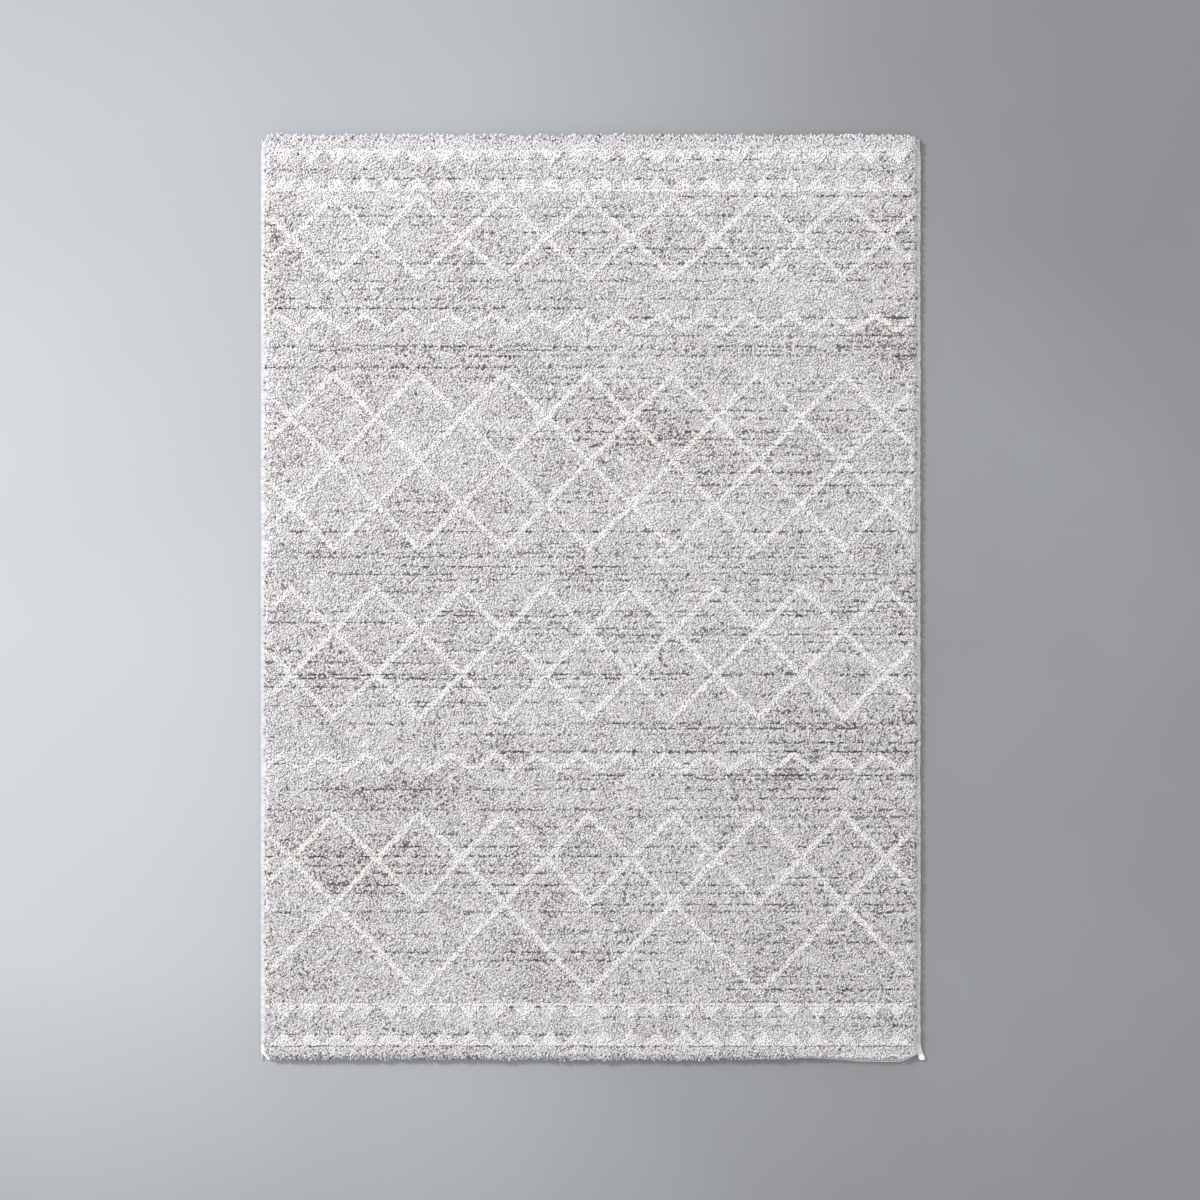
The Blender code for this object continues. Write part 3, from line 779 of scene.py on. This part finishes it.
def grid_solid(name, u, v, top_z, bottom_z, flat_base=False):
    """A closed slab over a grid; top_z(x, y) and bottom_z(x, y) give its two sides.

    With flat_base, the lower side is a single flat face.
    """
    x, y = np.meshgrid(u, v, indexing="ij")
    index = np.arange(x.size).reshape(x.shape)
    a, b, c, d = index[:-1, :-1], index[1:, :-1], index[1:, 1:], index[:-1, 1:]
    top = np.stack([a, b, c, d], -1).reshape(-1, 4)
    rim = np.concatenate([index[:-1, 0], index[-1, :-1], index[:0:-1, -1], index[0, :0:-1]])
    placed_x, placed_y = drawn_in(x, y), corner_rise(x, y)
    upper = np.stack([placed_x, placed_y, top_z(x, y)], -1).reshape(-1, 3)
    lower = np.stack([placed_x, placed_y, bottom_z(x, y)], -1).reshape(-1, 3)
    low = x.size + (np.arange(len(rim)) if flat_base else rim)
    wall = np.stack([rim, low, np.roll(low, -1), np.roll(rim, -1)], -1)
    if flat_base:
        quads = np.concatenate([top, wall])
        corners = np.concatenate([quads.ravel(), low[::-1]])
        sizes = np.concatenate([np.full(len(quads), 4), [len(low)]])
        return build_mesh(name, np.concatenate([upper, lower[rim]]), corners, sizes)
    quads = np.concatenate([top, top[:, ::-1] + x.size, wall])
    return build_mesh(name, np.concatenate([upper, lower]), quads.ravel(), np.full(len(quads), 4))


def even(half, cells):
    return np.linspace(-half, half, cells + 1)


def corner_rise(x, y):
    """Draws the cloth and all on it up with the fold where that turns up at the bottom corners."""
    return y + np.maximum(hem_shift(x), 0) * smooth_step((TURN_Y - y) / 0.06)


def drawn_in(x, y):
    """Draws the cloth and all on it in with the serging at the rug's corners."""
    stray = np.where(x > 0, side_stray(y, 1), side_stray(y, -1))
    return x * (1 + np.minimum(stray, 0) / SERGE_HIGH.x)


def make_bed(owner):
    """The matted lower pile that shows only between the tufts; its colour holds painted shade."""
    half_x, half_y = PILE_X - 0.0005, HEM_Y - 0.003
    edge = np.array([0.0, 0.002, 0.005, 0.010])
    u = np.concatenate([edge - half_x, even(half_x - 0.016, 196), half_x - edge[::-1]])
    v = np.concatenate([edge - half_y, even(half_y - 0.014, 470), half_y - edge[::-1]])

    def bumpy(x, y):
        bumps = 0.0008 * soft_noise(x, y, 0.006, 61) + 0.0006 * soft_noise(x, y, 0.012, 62)
        side = 0.006 * smooth_step(1 - (half_x - np.abs(x)) / 0.005)
        end = 0.010 * smooth_step(1 - (half_y - np.abs(y)) / 0.012)
        return BED_TOP - 0.0015 + bumps - 0.004 * parting_lean(x, y)[1] - np.maximum(side, end)

    def flat(x, y):
        return np.full_like(x, PILE_BOTTOM)

    mesh = grid_solid("pile_roots", u, v, bumpy, flat, flat_base=True)
    points = np.zeros(len(mesh.vertices) * 3, np.float32)
    mesh.vertices.foreach_get("co", points)
    x, y = points.reshape(-1, 3)[:, 0].astype(float), points.reshape(-1, 3)[:, 1].astype(float)
    # Painted shade: the matted pile is darker where the pile is brushed up and much darker along
    # the partings, standing in for shade in the gaps; none under the ivory lines
    shade = 1.02 - 0.36 * brushed_up(x, y) - 0.80 * parting_lean(x, y)[1]
    shade = np.where(owner_at(owner, x, y) > 0, 1.0, shade)
    add_colours(mesh, "depth", np.maximum(shade, 0.05)[:, None] * np.array([[1.0, 0.97, 0.97]]))
    return add_piece(mesh, bed_material(), "grey_pile", "field_pile")


# ---- the ground ---------------------------------------------------------------------------------


def make_ground_weave():
    """The woven cloth, with the crossings of its warp and weft."""
    cells_x, cells_y = 150, 210

    def crossing(x, y):
        i = np.round(x / (2 * WEAVE_HIGH.x / cells_x))
        j = np.round(y / (2 * WEAVE_HIGH.y / cells_y))
        return np.where((i + j) % 2 == 0, 0.00025, 0.0)

    mesh = grid_solid(
        "ground_cloth",
        even(WEAVE_HIGH.x, cells_x),
        even(WEAVE_HIGH.y, cells_y),
        lambda x, y: WEAVE_HIGH.z - crossing(x, y),
        lambda x, y: WEAVE_LOW.z + crossing(x, y),
    )
    cloth = cloth_material("jute", (0.66, 0.58, 0.46, 1), (0.40, 0.33, 0.24, 1), 0.0042, 0.0046)
    return add_piece(mesh, cloth, "weave", "ground_weave")


def make_back_coat():
    """Latex over the ribs of the weave's underside; it lies flat on the floor at their crests."""
    cells_x, cells_y = 120, 380

    def ribs(x, y):
        rib = 0.5 - 0.5 * np.cos(np.round(y / (2 * COAT_HIGH.y / cells_y)) * math.pi)
        rough = 0.00006 * (1 + soft_noise(x, y, 0.02, 72))
        return 0.0003 * rib * (0.7 + 0.3 * soft_noise(x, y, 0.05, 71)) + rough

    mesh = grid_solid(
        "latex_back",
        even(COAT_HIGH.x, cells_x),
        even(COAT_HIGH.y, cells_y),
        lambda x, y: np.full_like(x, COAT_HIGH.z),
        ribs,
    )
    return add_piece(mesh, latex_material(), "latex", "back_coat")


def make_label():
    """A blank satin label, with a hemmed border that stands a little proud."""
    width, length = LABEL_HIGH.x - LABEL_LOW.x, LABEL_HIGH.y - LABEL_LOW.y
    middle = (LABEL_LOW + LABEL_HIGH) / 2

    def lower(x, y):
        gap = np.minimum(width / 2 - np.abs(x), length / 2 - np.abs(y))
        hem = smooth_step(1 - gap / 0.003)
        return 0.00012 * (1 - hem) + 0.00004 * (1 + np.sin(x / 0.0045) * np.cos(y / 0.006))

    mesh = grid_solid(
        "care_label_satin",
        even(width / 2, 60),
        even(length / 2, 40),
        lambda x, y: np.full_like(x, LABEL_HIGH.z),
        lower,
    )
    pale, deep = (0.90, 0.90, 0.88, 1), (0.74, 0.74, 0.73, 1)
    satin = cloth_material("satin", pale, deep, 0.0006, 0.0009, 0.45)
    piece = add_piece(mesh, satin, "label", "care_label")
    piece.matrix_world.translation = (middle.x, middle.y, 0)
    return piece


# ---- the sides ----------------------------------------------------------------------------------


def serge_outline(points):
    """The serging's section, from its lower lip round the outside to its upper one: (in, up)."""
    width, height = SERGE_HIGH.x - SERGE_LOW.x, SERGE_HIGH.z
    angle = np.linspace(-0.5, 0.5, points - 4) * math.pi
    radius = height / 2 - 0.0005
    bulge_u = radius + 0.0005 - radius * np.cos(angle)
    bulge_z = height / 2 + radius * np.sin(angle)
    u = np.concatenate([[width * 0.92, width * 0.7], bulge_u, [width * 0.8, width * 1.18]])
    z = np.concatenate([[0.0008, 0.0006], bulge_z, [height - 0.0005, height + 0.0004]])
    return u, z


def side_stray(y, side):
    """How far out the serging strays: it flares at the bottom right and narrows elsewhere."""
    below = np.maximum(FLARE_Y - y, 0)
    above = np.maximum(y - NARROW_Y, 0)
    narrowed = -0.004 * smooth_step(above / 0.04) - 0.006 * smooth_step((above - 0.032) / 0.014)
    if side > 0:
        return FLARE * smooth_step(below / 0.036) + narrowed
    return narrowed - 0.9 * np.maximum(below - 0.014, 0)


def make_serging(side, name, pale, deep, bead):
    """Yarn wrapped closely round the cord and the weave's edge, in beads that differ a little."""
    around, step, pitch = 18, 0.0006, 0.0025
    y = np.arange(SERGE_LOW.y, SERGE_HIGH.y + step / 2, step)
    u, z = serge_outline(around)
    centre_u, centre_z = 0.0055, SERGE_HIGH.z / 2
    out = np.stack([u - centre_u, z - centre_z], -1)
    out /= np.linalg.norm(out, axis=1)[:, None]
    slant = np.linspace(0, 0.9, around)
    phase = y / pitch + 0.8 * soft_noise(y, 0 * y, 0.06, 81 + side)
    crest = np.abs(np.sin(math.pi * (phase[:, None] + slant[None]))) ** 0.7
    size = bead * (1 + 0.45 * soft_noise(y, 0 * y, 0.0035, 83 + side))[:, None]
    lumps = 0.6 * soft_noise(y, 0 * y, 0.05, 85 + side) + soft_noise(y, 0 * y, 0.011, 89 + side)
    swell = size * (crest - 0.75 + 0.7 * lumps[:, None])
    taper = 0.4 + 0.6 * smooth_step((y - y[0] + 0.001) / 0.003)
    taper *= smooth_step((y[-1] + 0.002 - y) / 0.008)
    taper = taper[:, None]
    opened = 0.40 * smooth_step((OPEN_Y - y) / 0.010) - 0.35 * smooth_step((THIN_Y - y) / 0.018)
    spread = 1 + (opened if side > 0 else 0 * y)[:, None]
    ring_u = centre_u + (u - centre_u)[None] * (0.55 + 0.45 * taper) * spread
    ring_u = ring_u + swell * out[None, :, 0]
    ring_z = centre_z + (z - centre_z)[None] * (0.45 + 0.55 * taper) + swell * out[None, :, 1]
    ring_z = np.maximum(ring_z - (1 - taper) * 0.0012, 0.0001)
    x = side * (SERGE_HIGH.x - ring_u + side_stray(y, side)[:, None])
    rings = np.stack([x, np.repeat(y[:, None], around, 1), ring_z], -1)
    if side > 0:
        rings = rings[:, ::-1]
    mesh = skin("serging_wraps_" + name, rings)
    tones = np.repeat(soft_noise(np.floor(phase) * 0.01, 0 * y, 0.01, 87 + side), around)
    tones = np.concatenate([tones, [0.0, 0.0]])[:, None]
    colour = np.array(pale) + (np.array(deep) - np.array(pale)) * (0.5 + 0.5 * tones)
    white = np.append(np.repeat(smooth_step((WHITE_Y - y) / 0.010), around), [1.0, 0.0])[:, None]
    colour = colour * (1 - white) + np.array(TAIL_YARN) * white
    add_colours(mesh, "wrap", colour)
    return add_piece(mesh, SERGING[name], "serging", "serging_" + name)


def make_core_cord(side, name, material):
    """The cord inside the serging: three plies laid round each other."""
    around, step, pitch = 18, 0.004, 0.014
    y = np.arange(CORD_LOW.y, CORD_HIGH.y, step)
    radius = (CORD_HIGH.z - CORD_LOW.z) / 2
    angle = np.linspace(0, 2 * math.pi, around, endpoint=False)
    turn = 2 * math.pi * y / pitch
    lobes = radius * (0.86 + 0.12 * np.cos(3 * (angle[None] - turn[:, None])))
    middle_x = side * (CORD_LOW.x + CORD_HIGH.x) / 2
    middle_z = (CORD_LOW.z + CORD_HIGH.z) / 2
    x = middle_x + lobes * np.sin(angle)[None]
    z = middle_z + lobes * np.cos(angle)[None]
    rings = np.stack([x, np.repeat(y[:, None], around, 1), z], -1)
    mesh = skin("core_cord_" + name, rings)
    return add_piece(mesh, material, "cord", "serge_cord_" + name)


# ---- the ends -----------------------------------------------------------------------------------


def end_line(x, end):
    """The fold's place along the rug, at either end."""
    return HEM_Y - (hem_shift(x) if end < 0 else 0 * x)


def make_tape(end, name):
    """A tape folded over the weave's end, a little wavy, with its two edges turned thin."""
    step, thick = 0.004, 0.0008
    x = np.arange(-PILE_X, PILE_X + step / 2, step)
    top, over = TAPE_HIGH.z, 0.008
    under = TAPE_HIGH.y - TAPE_LOW.y
    fold = top / 2
    angle = np.linspace(0.5, -0.5, 9) * math.pi
    outer = [(over, top - 0.0003), (over * 0.6, top)]
    outer += [(fold - fold * math.cos(a), fold + fold * math.sin(a)) for a in angle]
    outer += [(under * 0.5, 0.0), (under, 0.0002)]
    inner = [(under, 0.0010), (under * 0.5, 0.0011)]
    inner += [(thick + 0.0006, 0.0011), (thick, fold), (thick + 0.0006, top - thick)]
    inner += [(over * 0.6, top - thick), (over, top - thick + 0.0002)]
    outline = np.array(outer + inner)
    wave = 0.0006 * soft_noise(x, 0 * x, 0.03, 91 + end)[:, None]
    ripple = 0.0004 * soft_noise(x, 0 * x, 0.012, 93 + end)[:, None]
    y = end_line(x, end)[:, None] - outline[None, :, 0] + wave * (1 - outline[None, :, 0] / under)
    z = np.maximum(outline[None, :, 1] + ripple * (outline[None, :, 1] / top), 0.0)
    rings = np.stack([drawn_in(np.repeat(x[:, None], len(outline), 1), end * y), end * y, z], -1)
    if end > 0:
        rings = rings[:, ::-1]
    mesh = skin("binding_" + name, rings)
    return add_piece(mesh, TAPE_CLOTH, "tape", "end_tape_" + name)


def stitch_rings(centres, along, radius, sides=6):
    """Rings of one short stitch that lies bowed on the cloth, ends tucked in."""
    tucked, lying = (-0.9, 0.5), (0.15, 0.95)
    bow = [(-1.0, *tucked), (-0.6, *lying), (0.0, 0.5, 1.0), (0.6, *lying), (1.0, *tucked)]
    angle = np.arange(sides) * 2 * math.pi / sides
    rings = np.zeros((len(centres), len(bow), sides, 3))
    for i, (place, lift, size) in enumerate(bow):
        middle = centres + along * place
        middle[:, 2] += lift * radius
        rings[:, i, :, 0] = middle[:, None, 0]
        rings[:, i, :, 1] = middle[:, None, 1] + radius * size * np.cos(angle)
        rings[:, i, :, 2] = middle[:, None, 2] + radius * size * np.sin(angle)
    return rings


def make_stitches(end, name, material):
    """The sewing line of an end: stitches on top of the tape near its fold, and underneath."""
    length = 0.0066
    x = np.arange(-PILE_X + 0.006, PILE_X - 0.006, length)
    above = (0.0030, TAPE_HIGH.z, 0.0009)
    below = (HEM_Y - (THREAD_LOW.y + THREAD_HIGH.y) / 2, 0.0007, 0.0004)
    rows = []
    for inset, z, radius in (above, below):
        y = end * (end_line(x, end) - inset)
        centres = np.stack([x, y, np.full_like(x, z)], -1)
        slope = np.gradient(y, x)
        along = np.stack([np.full_like(x, 0.42 * length), 0.42 * length * slope, 0 * x], -1)
        rows.append(stitch_rings(centres, along, radius))
    rows[1][..., 2] = 2 * below[1] - rows[1][..., 2] - 0.0002
    rows[1] = rows[1][:, :, ::-1]
    rings = np.concatenate(rows)
    count, stations, sides = rings.shape[:3]
    each = stations * sides
    one_quads = []
    for s in range(stations - 1):
        for k in range(sides):
            after = (k + 1) % sides
            low, high = s * sides, (s + 1) * sides
            one_quads.append([low + k, low + after, high + after, high + k])
    one_quads = np.array(one_quads)[:, ::-1]
    caps = np.array([list(range(sides)), list(range(each - 1, each - 1 - sides, -1))])
    offsets = np.arange(count)[:, None, None] * each
    quads = (one_quads[None] + offsets).reshape(count, -1)
    ends = (caps[None] + offsets).reshape(count, -1)
    corners = np.concatenate([quads, ends], 1).ravel()
    sizes = np.tile([4] * len(one_quads) + [sides] * 2, count)
    mesh = build_mesh("stitching_" + name, rings.reshape(-1, 3), corners, sizes)
    return add_piece(mesh, material, "thread", "hem_thread_" + name)


# ---- everything ---------------------------------------------------------------------------------

make_camera()
make_light()
make_floor()

SERGING = {name: wrap_material("serging_yarn_" + name) for name in ("left", "right")}
TAPE_CLOTH = cloth_material(
    "binding", (0.95, 0.93, 0.90, 1), (0.78, 0.75, 0.72, 1), 0.0011, 0.0016
)

PARTINGS = partings()
ivory_cells = ivory_map()
pile = make_pile(ivory_cells)
pile.append(make_bed(ivory_cells))
weave = make_ground_weave()
on_it = [make_back_coat()]
label = make_label()
for side_sign, side_name in ((-1, "left"), (1, "right")):
    on_it.append(make_serging(side_sign, side_name, *SERGE_LOOKS[side_name]))
cord_yarn = thread_material("cord_yarn", (0.78, 0.73, 0.64, 1))
dark_thread = thread_material("hem_thread", (0.22, 0.13, 0.13, 1))
for side_sign, side_name in ((-1, "left"), (1, "right")):
    on_it.append(make_core_cord(side_sign, side_name, cord_yarn))
for end_sign, end_name in ((1, "top"), (-1, "bottom")):
    on_it.append(make_tape(end_sign, end_name))
    on_it.append(make_stitches(end_sign, end_name, dark_thread))
